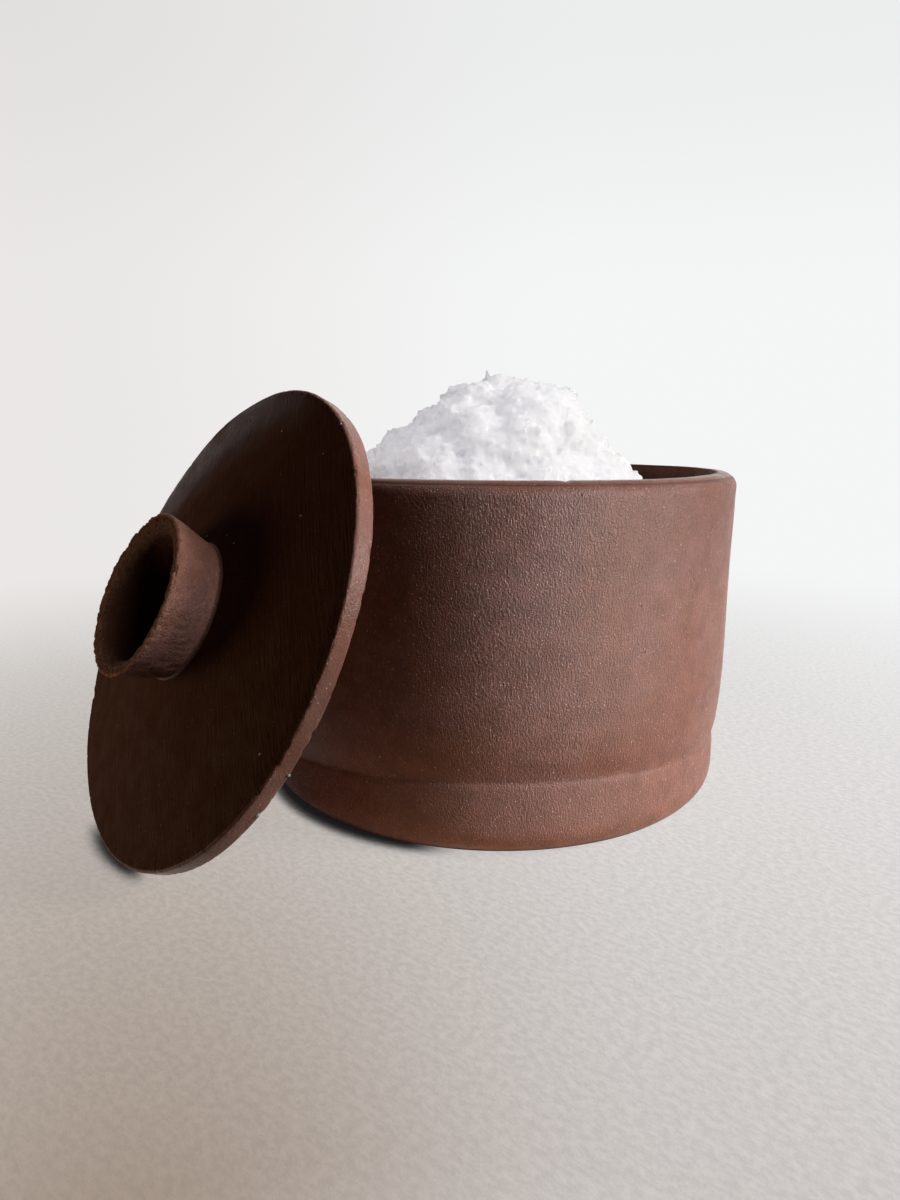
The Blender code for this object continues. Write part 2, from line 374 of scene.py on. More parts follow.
# Stage: a pale backdrop, with a fill that comes mostly from behind. Ranges are along the direction's axes
BACKDROP_LEFT = (0.82, 0.80, 0.785, 1.0)
BACKDROP_RIGHT = (0.91, 0.915, 0.92, 1.0)
BACKDROP_SIDES = (-0.5, 0.1)
BACKDROP_HEIGHTS = (0.12, 0.40, 1.0, 0.92)
FILL_LEFT = (0.004, 0.0016, 0.0006, 1.0)
FILL_RIGHT = (0.006, 0.006, 0.006, 1.0)
FILL_SIDES = (0.0, 0.9)
FILL_ABOVE = (0.006, 0.005, 0.004, 1.0)
FILL_HEIGHTS = (0.2, 1.0)
FILL_BACK = (0.20, 0.20, 0.205, 1.0)
FILL_BEHIND = (0.50, 0.95)
GLOSS_RIGHT = (0.50, 0.50, 0.51, 1.0)
GLOSS_SIDES = (-0.3, 0.9)
GLOSS_BEHIND = (0.58, 0.95)

# Stage: a key lamp on the right, and four lamps that each light a few pieces only.
# A lamp is its azimuth and elevation in degrees, its size and its power
AIM = (0.0, 0.0, 0.035)
KEY_LAMP = (75.0, 24.0, 0.22, 5.60)
KEY_DISTANCE = 0.8
KEY_COLOUR = (1.0, 0.985, 0.965)
SHEEN_LAMP = (53.0, 7.0, 0.16, 46.0)
SHEEN_HEIGHT = 0.40
SALT_LAMP = (-55.0, 55.0, 0.45, 4.0)
SALT_LAMP_COLOUR = (0.98, 0.96, 1.0)
KNOB_LAMP = (44.0, 34.0, 0.22, 1.7)
LOW_LAMP = (-78.0, -2.0, 0.10, 0.120)
LOW_DISTANCE = 0.26
LOW_COLOUR = (1.0, 0.66, 0.33)

SEED = 71
NOISE_STEP = Vector((0.37, 0.71, 0.13))

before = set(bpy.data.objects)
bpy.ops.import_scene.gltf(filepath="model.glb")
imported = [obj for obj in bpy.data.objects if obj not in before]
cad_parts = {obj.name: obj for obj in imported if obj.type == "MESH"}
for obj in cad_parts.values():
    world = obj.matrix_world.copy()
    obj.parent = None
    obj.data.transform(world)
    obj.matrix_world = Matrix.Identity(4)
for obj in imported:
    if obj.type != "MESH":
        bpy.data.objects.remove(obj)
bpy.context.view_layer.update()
POT_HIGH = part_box("pot")[1]
SALT_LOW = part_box("salt_heap")[0]
POT_RADIUS = POT_HIGH.x
POT_HEIGHT = POT_HIGH.z
NECK_Z = POT_HEIGHT - LEDGE_DEPTH - LEDGE_THICKNESS
draws = np.random.default_rng(SEED)


def pattern(seed):
    """The place in the noise for a seed. A vector is such a place already."""
    return seed if isinstance(seed, Vector) else NOISE_STEP * (17.0 * seed + 5.0)


def rough(points, size, seed):
    """Smooth noise from about -1 to 1 at each point, with lumps about this size."""
    shift = pattern(seed)
    values = [noise.noise(Vector(point) + shift) for point in points.reshape(-1, 3) / size]
    return np.array(values).reshape(points.shape[:-1])


def cobbles(points, size, seed):
    """Rounded lumps of about this size, 1 at the middle of each lump and less between them."""
    shift = pattern(seed)
    nearest = [noise.voronoi(Vector(point) + shift)[0][0] for point in points.reshape(-1, 3) / size]
    return (1.0 - np.array(nearest) ** 2).reshape(points.shape[:-1])


def uneven(points, *reliefs):
    """The sum of some reliefs."""
    return sum(depth * rough(points, size, seed) for depth, size, seed in reliefs)


def chipped(points, chips):
    """How far each noise rises above its level, as a sum."""
    return sum(np.clip(rough(points, size, seed) - level, 0.0, 1.0) for size, seed, level in chips)


def bell(value, centre, width):
    """1 at the centre, falling smoothly to 0 over about two widths."""
    return np.exp(-((value - centre) / width) ** 2)


def ramp(value, start, length):
    """0 up to the start, then a straight rise over the length to 1."""
    return np.clip((value - start) / length, 0.0, 1.0)


def wave(angle, count, height, turn):
    """A wave that rises this many times round a turned piece."""
    return height * np.cos(count * angle + turn)


def facing(angle, towards, spread, cut):
    """1 on the side of a turned piece that faces this way, falling to 0 round it."""
    return np.clip(spread * np.cos(angle - towards) - cut, 0.0, 1.0)


def blend(first, second, share):
    """The first value where the share is 0, and the second where it is 1."""
    return first + (second - first) * share


def arc(centre_radius, centre_z, size, start, end, steps=8):
    """Points on a round corner of an outline, from one angle to another in degrees."""
    angles = np.radians(np.linspace(start, end, steps + 1))
    return [(centre_radius + size * math.cos(angle), centre_z + size * math.sin(angle)) for angle in angles]


def evenly_filled(outline, spacing, closed=False):
    """The outline with points added on its long stretches, none further apart than the spacing."""
    ends = outline + outline[:1] if closed else outline
    filled = []
    for here, there in zip(ends, ends[1:]):
        pieces = max(1, math.ceil(math.dist(here, there) / spacing))
        for step in range(pieces):
            share = step / pieces
            filled.append((blend(here[0], there[0], share), blend(here[1], there[1], share)))
    if not closed:
        filled.append(ends[-1])
    return filled


def add_object(name, data):
    """An object in the scene."""
    made = bpy.data.objects.new(name, data)
    bpy.context.scene.collection.objects.link(made)
    return made


def add_piece(name, vertices, faces, material):
    """A smooth-shaded mesh object in the scene."""
    mesh = bpy.data.meshes.new(name)
    mesh.from_pydata(vertices, [], faces)
    mesh.shade_smooth()
    mesh.materials.append(material)
    return add_object(name, mesh)


class Turned:
    """Points of an outline swept round Z, which a piece then moves before they become a mesh.

    The outline runs down its outer side. An open outline starts and ends on the axis.
    """

    def __init__(self, outline, columns, closed=False):
        self.closed = closed
        self.columns = columns
        profile = np.array(outline if closed else outline[1:-1])
        around = np.arange(columns) * 2.0 * math.pi / columns
        self.radius = np.broadcast_to(profile[:, 0], (columns, len(profile)))
        self.height = np.broadcast_to(profile[:, 1], (columns, len(profile)))
        self.angle = np.broadcast_to(around[:, None], self.radius.shape)
        self.poles = [] if closed else [(0.0, 0.0, outline[0][1]), (0.0, 0.0, outline[-1][1])]
        ring = np.array(outline)
        if closed:
            along = np.roll(ring, -1, axis=0) - np.roll(ring, 1, axis=0)
        else:
            along = np.gradient(ring, axis=0)[1:-1]
        along /= np.linalg.norm(along, axis=1)[:, None]
        self.out = np.broadcast_to(-along[:, 1], self.radius.shape)
        self.up = np.broadcast_to(along[:, 0], self.radius.shape)
        self.points = self.placed(self.radius, self.height)

    def placed(self, radius, height):
        """Points at these radii and heights, one row for each column."""
        across = (radius * np.cos(self.angle), radius * np.sin(self.angle), height)
        return np.stack(across, axis=-1)

    def moved(self, relief, lift=0.0):
        """Moves the points out along the surface by the relief, and up by the lift."""
        self.points = self.placed(self.radius + relief * self.out, self.height + relief * self.up + lift)

    def mesh(self, name, material, zones):
        """The swept surface as a closed piece. Each zone is a value at every point, for the material."""
        count = self.points.shape[1]
        vertices = self.points.reshape(-1, 3).tolist() + self.poles
        top = self.columns * count
        faces = []
        for column in range(self.columns):
            here = column * count
            there = (column + 1) % self.columns * count
            if not self.closed:
                faces.append((top, here, there))
            for point in range(count if self.closed else count - 1):
                below = (point + 1) % count
                faces.append((here + point, here + below, there + below, there + point))
            if not self.closed:
                faces.append((here + count - 1, top + 1, there + count - 1))
        piece = add_piece(name, vertices, faces, material)
        for zone, values in zones.items():
            at_points = np.broadcast_to(values, self.radius.shape).reshape(-1)
            at_poles = np.full(len(self.poles), at_points[0])
            layer = piece.data.attributes.new(zone, "FLOAT", "POINT")
            layer.data.foreach_set("value", np.concatenate((at_points, at_poles)))
        return piece


class Nodes:
    """Short ways to add shader nodes to one material or world."""

    def __init__(self, tree, pose=None):
        self.tree = tree
        self.tree.nodes.clear()
        self.own = self.add("ShaderNodeTexCoord").outputs["Object"]
        if pose:
            back = pose.inverted()
            inputs = {"Vector": self.own, "Location": back.translation, "Rotation": back.to_euler()}
            self.own = self.add("ShaderNodeMapping", inputs).outputs["Vector"]

    def add(self, kind, inputs=None, **settings):
        """A node with these settings. Each input is a value, or a socket to link."""
        made = self.tree.nodes.new(kind)
        for name, value in settings.items():
            setattr(made, name, value)
        for name, value in (inputs or {}).items():
            if isinstance(value, bpy.types.NodeSocket):
                self.tree.links.new(value, made.inputs[name])
            else:
                made.inputs[name].default_value = value
        return made

    def stretched(self, scale, turn=0.0):
        """The piece's own coordinates, turned about its axis and then scaled along each axis."""
        own = self.own
        if turn:
            spin = {"Vector": own, "Rotation": (0.0, 0.0, turn)}
            own = self.add("ShaderNodeMapping", spin).outputs["Vector"]
        return self.add("ShaderNodeMapping", {"Vector": own, "Scale": scale}).outputs["Vector"]

    def noise(self, vector, size, detail=2.0, roughness=0.5):
        """Cloudy noise from 0 to 1, with patches about this size."""
        inputs = {"Vector": vector, "Scale": 1.0 / size, "Detail": detail, "Roughness": roughness}
        return self.add("ShaderNodeTexNoise", inputs).outputs["Fac"]

    def math(self, operation, first, second=0.0):
        """One step of arithmetic."""
        return self.add("ShaderNodeMath", {0: first, 1: second}, operation=operation).outputs[0]

    def plus(self, first, second, share=1.0):
        """The first value and a share of the second."""
        return self.math("ADD", first, second if share == 1.0 else self.math("MULTIPLY", second, share))

    def vector(self, operation, first, *others):
        """One step of vector arithmetic, as its node."""
        inputs = dict(enumerate((first,) + others))
        return self.add("ShaderNodeVectorMath", inputs, operation=operation)

    def axes(self, vector):
        """The vector's X, Y and Z."""
        return self.add("ShaderNodeSeparateXYZ", {"Vector": vector}).outputs

    def between(self, value, low, high, to_low=0.0, to_high=1.0):
        """The value remapped from one range to another, and held inside it."""
        inputs = {"Value": value, "From Min": low, "From Max": high, "To Min": to_low, "To Max": to_high}
        return self.add("ShaderNodeMapRange", inputs, interpolation_type="SMOOTHSTEP").outputs["Result"]

    def mix(self, factor, first, second, blend_type="MIX"):
        """Two colours mixed."""
        inputs = {0: factor, 6: first, 7: second}
        return self.add("ShaderNodeMix", inputs, data_type="RGBA", blend_type=blend_type).outputs[2]

    def bump(self, strength, distance, height):
        """The surface's normal, tilted by a relief this deep."""
        inputs = {"Strength": strength, "Distance": distance, "Height": height}
        return self.add("ShaderNodeBump", inputs).outputs["Normal"]

    def zone(self, name):
        """The value that the mesh holds for a zone."""
        return self.add("ShaderNodeAttribute", attribute_name=name).outputs["Fac"]

    def scaled(self, colour, factor):
        """A colour made lighter or darker by a factor."""
        inputs = {0: colour, "Scale": factor}
        return self.add("ShaderNodeVectorMath", inputs, operation="SCALE").outputs["Vector"]

    def specks(self, vector, spacing, size, share):
        """Round dots: about one cell in the spacing, of this radius, in this share of the cells."""
        cells = self.add("ShaderNodeTexVoronoi", {"Vector": vector, "Scale": 1.0 / spacing})
        reach = size / spacing
        dot = self.between(cells.outputs["Distance"], reach, reach * SPECK_EDGE)
        chance = self.add("ShaderNodeSeparateColor", {"Color": cells.outputs["Color"]}).outputs["Red"]
        chosen = self.math("LESS_THAN", chance, share)
        return self.math("MULTIPLY", dot, chosen)


def new_material(name, pose=None):
    """An empty material, and the nodes to fill it with."""
    material = bpy.data.materials.new(name)
    material.use_nodes = True
    return material, Nodes(material.node_tree, pose)


def clay(name, streak, gloss, pose=None, brush=0.0):
    """Unglazed stoneware. Streak is how far the grain is drawn out along each of the piece's axes.

    The mesh gives each zone's painted light and shade, how rough its grain is, its share of pale grit and how
    dull it is.
    """
    material, nodes = new_material(name, pose)
    own = nodes.own
    painted_light_and_shade = nodes.zone("painted_light_and_shade")
    grain = nodes.zone("grain")
    grit = nodes.zone("grit")

    hue = nodes.between(nodes.noise(own, HUE_SIZE), *HUE_RANGE)
    streaks = nodes.noise(nodes.stretched(streak), STREAK_SIZE, roughness=0.6)
    patch = nodes.noise(own, PATCH_SIZE, detail=3.0)
    light = nodes.plus(nodes.math("MULTIPLY", streaks, STREAK_SHARE), patch, PATCH_SHARE)
    light = nodes.between(light, *LIGHT_RANGE, *LIGHT_TONES)
    colour = nodes.scaled(nodes.mix(hue, CLAY_RUST, CLAY_ROSE), light)
    # Painted shade: the colour goes towards a dark clay colour where the mesh's painted light and shade value
    # is low
    colour = nodes.mix(painted_light_and_shade, CLAY_PAINTED_SHADE, colour)
    fine = nodes.specks(own, *FINE_SPECKS, grit)
    bold = nodes.specks(own, *BOLD_SPECKS, grit)
    pits_and_their_shade = nodes.specks(own, *PITS, PIT_SHARE)
    pale = nodes.math("MAXIMUM", fine, bold)
    shown = nodes.math("MULTIPLY", pale, nodes.between(painted_light_and_shade, *SPECK_TONES))
    colour = nodes.mix(nodes.math("MULTIPLY", shown, SPECK_STRENGTH), colour, CLAY_SPECK)
    # Painted shade in the pits
    colour = nodes.mix(nodes.math("MULTIPLY", pits_and_their_shade, PIT_SHADE_STRENGTH), colour, CLAY_PIT_SHADE)

    sand = nodes.noise(own, SAND_SIZE, roughness=SAND_ROUGHNESS)
    relief = nodes.plus(streaks, sand, SAND_RISE)
    relief = nodes.plus(relief, pale, SPECK_RISE)
    relief = nodes.plus(relief, pits_and_their_shade, -PIT_DEPTH)
    if brush:
        brushed = nodes.stretched(BRUSH_STRETCH, BRUSH_ANGLE)
        strokes = nodes.noise(brushed, BRUSH_SIZE, roughness=SAND_ROUGHNESS)
        relief = nodes.plus(relief, strokes, brush)
    shine = nodes.between(nodes.noise(own, SHINE_SIZE, detail=3.0), *SHINE_RANGE, *SHINES)
    dull = nodes.plus(nodes.between(painted_light_and_shade, *DARK_DULL), nodes.between(grit, *GRITTY_DULL))
    dull = nodes.plus(dull, nodes.zone("dull"))
    dull = nodes.plus(dull, nodes.between(grain, *SMOOTH_DULL))
    shader = nodes.add("ShaderNodeBsdfPrincipled", {
        "Base Color": colour,
        "Roughness": nodes.math("MINIMUM", nodes.plus(shine, dull), 1.0),
        "Specular IOR Level": gloss,
        "Specular Tint": CLAY_SHEEN,
        "Normal": nodes.bump(grain, CLAY_BUMP, relief),
    })
    nodes.add("ShaderNodeOutputMaterial", {"Surface": shader.outputs["BSDF"]})
    return material


def salt_material():
    """White flakes with a faint cool shade between them."""
    material, nodes = new_material("salt_flakes")
    own = nodes.own
    patch = nodes.noise(own, SALT_PATCH_SIZE, detail=3.0)
    crystal = nodes.noise(own, CRYSTAL_SIZE)
    shader = nodes.add("ShaderNodeBsdfPrincipled", {
        "Base Color": nodes.mix(nodes.between(patch, *SALT_PATCH_RANGE), SALT_SHADE, SALT_WHITE),
        "Roughness": nodes.between(crystal, *CRYSTAL_RANGE, *CRYSTAL_SHINES),
        "Specular IOR Level": SALT_GLOSS,
        "Subsurface Weight": 1.0,
        "Subsurface Radius": SALT_SCATTER,
        "Subsurface Scale": SALT_SCATTER_REACH,
        "Normal": nodes.bump(CRYSTAL_BUMP_STRENGTH, CRYSTAL_BUMP, crystal),
    })
    nodes.add("ShaderNodeOutputMaterial", {"Surface": shader.outputs["BSDF"]})
    return material


def pot_outline():
    """Half section of the pot, from the middle of its inside floor over the lip to its underside."""
    gallery = POT_RADIUS - LIP_THICKNESS
    inside = POT_RADIUS - WALL_THICKNESS
    ledge_z = POT_HEIGHT - LEDGE_DEPTH
    foot_radius = POT_RADIUS - FOOT_SETBACK
    hollow = [(0.0, FLOOR_THICKNESS)]
    hollow += arc(inside - INSIDE_CORNER, FLOOR_THICKNESS + INSIDE_CORNER, INSIDE_CORNER, -90, 0)
    hollow.append((inside, NECK_Z - inside + LEDGE_RADIUS))
    hollow.append((LEDGE_RADIUS, NECK_Z))
    gallery_wall = [(LEDGE_RADIUS, NECK_Z), (LEDGE_RADIUS, ledge_z), (gallery, ledge_z)]
    lip = arc(gallery + LIP_INNER_ROUND, POT_HEIGHT - LIP_INNER_ROUND, LIP_INNER_ROUND, 180, 90)
    lip += arc(POT_RADIUS - LIP_OUTER_ROUND, POT_HEIGHT - LIP_OUTER_ROUND, LIP_OUTER_ROUND, 90, 0, 12)
    wall_top = POT_HEIGHT - LIP_OUTER_ROUND
    wall_foot = FOOT_HEIGHT + GROOVE_BEVEL
    wall = [lip[-1]]
    for share in np.linspace(0.0, 1.0, WALL_STEPS + 1)[1:]:
        inset = WALL_WAIST * math.sin(math.pi * share) + WALL_TUCK * share ** WALL_TUCK_POWER
        wall.append((POT_RADIUS - inset, blend(wall_top, wall_foot, share)))
    crease_angle = math.acos(1.0 - GROOVE_DEPTH / FOOT_SHOULDER)
    shoulder_z = FOOT_HEIGHT - FOOT_SHOULDER * math.sin(crease_angle)
    shoulder = arc(foot_radius - FOOT_SHOULDER, shoulder_z, FOOT_SHOULDER, math.degrees(crease_angle), 0)
    crease = shoulder[0]
    above = (blend(crease[0], wall[-1][0], GROOVE_TUCK), crease[1] + GROOVE_TUCK_RISE)
    foot = shoulder + arc(foot_radius - FOOT_ROUND, FOOT_ROUND, FOOT_ROUND, 0, -90)
    outline = evenly_filled(hollow, HIDDEN_SPACING)[:-1] + evenly_filled(gallery_wall, POT_SPACING)
    outline += evenly_filled(lip, FINE_SPACING)[:-1]
    outline += evenly_filled(wall + [above], POT_SPACING)[:-1]
    outline += evenly_filled([above] + shoulder[:6], FINE_SPACING)[:-1]
    outline += evenly_filled(foot[5:], POT_SPACING)[:-1]
    outline += evenly_filled([foot[-1], (0.0, 0.0)], HIDDEN_SPACING)
    return softened(outline)


def softened(outline):
    """The pot's outline with its corners at the groove worn round."""
    ring = np.array(outline)
    near = (np.abs(ring[:, 1] - FOOT_HEIGHT) < GROOVE_SOFT_REACH) & (ring[:, 0] > POT_RADIUS - WALL_THICKNESS)
    for step in range(GROOVE_SOFT_PASSES):
        chips_and_their_shade = (np.roll(ring, 1, axis=0) + 2.0 * ring + np.roll(ring, -1, axis=0)) / 4.0
        ring[near] = chips_and_their_shade[near]
    return [tuple(point) for point in ring.tolist()]


def make_pot(material):
    """The pot: slightly out of round, with throwing rings, an uneven groove and a line below the lip. Its
    inside, lip band, upper right, and the lines at the lip and groove are painted with shade.
    """
    turned = Turned(pot_outline(), POT_COLUMNS)
    points = turned.points
    angle = turned.angle
    height = turned.height
    lip_line_z = POT_HEIGHT - LIP_LINE_DROP
    outside = ramp(turned.radius - POT_RADIUS + WALL_THICKNESS, *OUTSIDE_FADE)
    below_lip = 1.0 - ramp(height, lip_line_z - LIP_FADE / 2.0, LIP_FADE)
    wall = outside * ramp(height, 0.0, STANDING_FADE) * below_lip
    lip_line = bell(height, lip_line_z, LIP_LINE_WIDTH) * outside
    lip_line = lip_line * (LIP_LINE_SHARE + uneven(points, LIP_LINE_PATCHES))
    groove_line = bell(height, FOOT_HEIGHT, GROOVE_LINE_WIDTH) * outside
    groove_line = groove_line * np.clip(GROOVE_LINE_SHARE + uneven(points, GROOVE_LINE_PATCHES), 0.0, 1.0)

    relief = wave(angle, *POT_OVAL) + wave(angle, *POT_THREE_SIDED)
    turns = height / RING_HEIGHT + angle / (2.0 * math.pi) + uneven(points, RING_SWAY)
    rings = np.sin(2.0 * math.pi * turns) * (RING_SHARE + uneven(points, RING_PATCHES))
    relief = relief + wall * RING_DEPTH * rings
    relief = relief + uneven(points, *POT_RELIEFS) + wall * uneven(points, *WALL_RELIEFS)
    relief = relief - LIP_LINE_DEPTH * lip_line - GROOVE_LINE_DEPTH * groove_line
    relief = relief * ramp(height, 0.0, UNDERSIDE_FADE)
    across = (angle - NICK_ANGLE - 2.0 * math.pi) * POT_RADIUS
    relief = relief - NICK_DEPTH * bell(across, 0.0, NICK_WIDTH) * bell(height, POT_HEIGHT, NICK_HEIGHT)
    wander = GROOVE_WANDER * np.cos(2.0 * (angle - GROOVE_FRONT)) + uneven(points, GROOVE_SWAY)
    turned.moved(relief, bell(height, FOOT_HEIGHT, GROOVE_REACH) * outside * wander)

    # Painted shade: darker inside the pot, on the lip band and in the lines at the lip and the groove
    painted_light_and_shade = blend(POT_INSIDE_PAINTED_SHADE, 1.0, outside) * blend(LIP_BAND_PAINTED_SHADE, 1.0, below_lip)
    painted_light_and_shade = painted_light_and_shade * (1.0 - LIP_LINE_PAINTED_SHADE * lip_line - GROOVE_LINE_PAINTED_SHADE * groove_line)
    # Painted shade: the wall is darker towards its top on the right side
    painted_upper_right_shade = ramp(height, *UPPER_RIGHT_SHADE_FADE) * np.clip(np.cos(angle), 0.0, 1.0)
    on_foot = 1.0 - ramp(height, FOOT_HEIGHT - FOOT_FADE, FOOT_FADE)
    off_table = ramp(height, FOOT_SAND_FROM, FOOT_SAND_FROM)
    sandy = on_foot * off_table * (FOOT_SANDY_SIDE[0] - FOOT_SANDY_SIDE[1] * np.cos(angle))
    clean = on_foot * (1.0 - off_table)
    return turned.mesh("pot_turned", material, {
        "painted_light_and_shade": painted_light_and_shade * (1.0 - UPPER_RIGHT_PAINTED_SHADE * painted_upper_right_shade * wall),
        "grain": blend(LIP_GRAIN, 1.0, below_lip),
        "grit": wall * (WALL_GRIT + FOOT_GRIT * sandy - FOOT_CLEAN_GRIT * clean),
        "dull": POT_INSIDE_DULL * (1.0 - outside),
    })


def lid_pose():
    """The lid's own frame: origin in the middle of its underside, Z along its axis, X downhill."""
    turn = Matrix.Rotation(LEAN_AZIMUTH, 4, "Z") @ Matrix.Rotation(LEAN_ANGLE, 4, "Y")
    own = [turn.inverted() @ vertex.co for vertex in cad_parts["lid_disc"].data.vertices]
    low = Vector([min(point[axis] for point in own) for axis in range(3)])
    high = Vector([max(point[axis] for point in own) for axis in range(3)])
    middle = Vector(((low.x + high.x) / 2.0, (low.y + high.y) / 2.0, low.z))
    return turn @ Matrix.Translation(middle), (high.x - low.x) / 2.0


def make_lid(material, pose, radius):
    """The lid's shallow cone, with a hand-cut edge that wanders and is chipped along its corners. Its face,
    edge, chips and a strip along its edge are painted with shade, the top and bottom of its edge and its
    upper-left face with light.
    """
    spot_radius = KNOB_FOOT_RADIUS + KNOB_SPOT_MARGIN
    spot_z = LID_EDGE + LID_RISE
    rim = radius - LID_EDGE_ROUND
    spot = [(0.0, spot_z), (spot_radius, spot_z)]
    shown = [spot[-1]]
    shown += arc(rim, LID_EDGE - LID_EDGE_ROUND, LID_EDGE_ROUND, 80, 0)
    shown += arc(rim, LID_EDGE_ROUND, LID_EDGE_ROUND, 0, -90)
    underside = [shown[-1], (0.0, 0.0)]
    outline = evenly_filled(spot, HIDDEN_SPACING)[:-1] + evenly_filled(shown, LID_SPACING)[:-1]
    outline += evenly_filled(underside, HIDDEN_SPACING)
    turned = Turned(outline, LID_COLUMNS)
    points = turned.points
    angle = turned.angle
    edge = ramp(turned.radius, rim - EDGE_BAND, EDGE_BAND)
    wander = uneven(points, EDGE_SWAY) + wave(angle, *EDGE_OVAL) - EDGE_INSET
    corner = bell(turned.height, LID_EDGE, CORNER_REACH) + bell(turned.height, 0.0, CORNER_REACH)
    # Chips cut into the edge's corners; they are also coloured darker as painted shade
    chips_and_their_shade = chipped(points, EDGE_CHIPS) * corner * edge
    relief = edge * EDGE_WANDER * wander - EDGE_CHIP * chips_and_their_shade + uneven(points, *LID_RELIEFS)
    turned.moved(relief * ramp(turned.radius, spot_radius - SPOT_FADE, SPOT_FADE))

    on_edge = ramp(turned.radius - rim, *ON_EDGE_FADE)
    knob_middle = KNOB_FOOT_RADIUS - KNOB_WALL / 2.0
    in_knob = 1.0 - ramp(turned.radius, knob_middle - IN_KNOB_FADE, IN_KNOB_FADE)
    uphill = facing(angle, math.pi, *UPHILL_SPREAD)
    downhill = facing(angle, 0.0, *DOWNHILL_SPREAD)
    # Painted light and shade on the edge: darker, but paler at its top and bottom
    edge_painted_light_and_shade = blend(LID_EDGE_PAINTED_SHADE, LID_EDGE_PAINTED_LIGHT, np.maximum(uphill, downhill))
    outward = ramp(turned.radius, spot_radius, rim - spot_radius)
    # Painted sheen: the face is paler towards its upper-left rim
    painted_sheen = facing(angle, PAINTED_SHEEN_ANGLE, *PAINTED_SHEEN_SPREAD) * outward ** PAINTED_SHEEN_POWER
    # Painted shade on the face, with a painted sheen near its upper-left rim; the edge gets painted light and
    # shade
    painted_light_and_shade = blend(LID_FACE_PAINTED_SHADE + PAINTED_SHEEN_TONE * painted_sheen, edge_painted_light_and_shade, on_edge)
    # Painted shade on the lid inside the knob's foot
    painted_light_and_shade = blend(painted_light_and_shade, KNOB_BORE_PAINTED_SHADE, in_knob)
    # Painted shade: a darker strip along the edge below its face-side corner on the downhill side
    bevel_strip_shade = downhill * bell(turned.height, LID_EDGE - BEVEL_DROP, BEVEL_DROP) * on_edge
    piece = turned.mesh("lid_disc_turned", material, {
        "painted_light_and_shade": painted_light_and_shade * (1.0 - CHIP_PAINTED_SHADE * chips_and_their_shade) * (1.0 - BEVEL_STRIP_PAINTED_SHADE * bevel_strip_shade),
        "grain": LID_FACE_GRAIN - LID_EDGE_SMOOTHER * on_edge,
        "grit": LID_FACE_GRIT + LID_EDGE_GRIT * on_edge + LID_CORNER_GRIT * corner * edge,
    })
    piece.data.transform(pose)
    return piece


def make_knob(material, pose):
    """The hollow ring knob, with a soft fillet of slip where it is luted to the lid. Its ring top, bore and
    foot are painted with shade.
    """
    spot_z = LID_EDGE + LID_RISE
    foot_z = spot_z - SLIP_SINK
    top_z = spot_z + KNOB_HEIGHT
    bore_foot = KNOB_FOOT_RADIUS - KNOB_WALL
    bore_top = KNOB_TOP_RADIUS - KNOB_WALL
    outline = arc(bore_top + KNOB_INNER_ROUND, top_z - KNOB_INNER_ROUND, KNOB_INNER_ROUND, 180, 90)
    outline += arc(KNOB_TOP_RADIUS - KNOB_OUTER_ROUND, top_z - KNOB_OUTER_ROUND, KNOB_OUTER_ROUND, 90, 0)
    outline += arc(KNOB_FOOT_RADIUS + SLIP_FILLET, spot_z + SLIP_FILLET, SLIP_FILLET, 180, 265)
    outline.append((KNOB_FOOT_RADIUS + SLIP_FILLET, foot_z))
    outline.append((bore_foot, foot_z))
    turned = Turned(evenly_filled(outline, KNOB_SPACING, closed=True), KNOB_COLUMNS, closed=True)
    points = turned.points
    height = turned.height
    crown = bell(height, top_z, CROWN_REACH)
    relief = wave(turned.angle, *KNOB_OVAL) + uneven(points, *KNOB_RELIEFS)
    relief = relief - CROWN_CHIP * chipped(points, CROWN_CHIPS) * crown
    turned.moved(relief * ramp(height, foot_z, KNOB_FOOT_FADE))

    flare = (KNOB_TOP_RADIUS - KNOB_FOOT_RADIUS) * (height - foot_z) / (top_z - foot_z)
    from_outside = KNOB_FOOT_RADIUS + flare - turned.radius
    inward = ramp(from_outside, *INWARD_FADE)
    bore = inward * ramp(from_outside, *BORE_FADE)
    ring = inward * ramp(height - top_z, *RING_FADE)
    depth = ramp(top_z - height, 0.0, KNOB_HEIGHT)
    # Painted shade: the ring top is dark, and the bore goes darker with depth
    lit = np.clip(1.0 - BORE_SHADE_DEEPENING * depth, 0.0, 1.0) ** 2
    painted_light_and_shade = blend(KNOB_WALL_TONE, blend(KNOB_BORE_PAINTED_SHADE, KNOB_RING_PAINTED_SHADE, lit), np.maximum(bore, ring))
    upper = np.clip(1.0 - UPPER_WALL * depth, 0.0, 1.0)
    # Painted shade: the knob's foot is darkened where it meets the lid
    piece = turned.mesh("lid_knob_turned", material, {
        "painted_light_and_shade": painted_light_and_shade * blend(KNOB_FOOT_PAINTED_SHADE, 1.0, ramp(height - foot_z, *KNOB_FOOT_SHADE_FADE)),
        "grain": KNOB_GRAIN + KNOB_UPPER_GRAIN * upper,
        "grit": KNOB_GRIT - KNOB_BORE_CLEANER * bore + KNOB_CROWN_GRIT * crown,
    })
    piece.data.transform(pose)
    return piece


def heap_height(share, azimuth):
    """Height of the heap at a share of its radius: a straight slope on its left, a shoulder on its right."""
    rise = POT_HEIGHT + SALT_PEAK_RISE - NECK_Z
    slope = 1.0 - share ** SALT_SLOPE_POWER
    drawn = np.minimum(share * SALT_SHOULDER_DRAW, 1.0)
    shoulder = 0.5 + 0.5 * np.cos(math.pi * drawn ** SALT_SHOULDER_POWER)
    rightness = 0.5 + 0.5 * np.cos(azimuth)
    return NECK_Z + rise * blend(slope, shoulder, rightness)


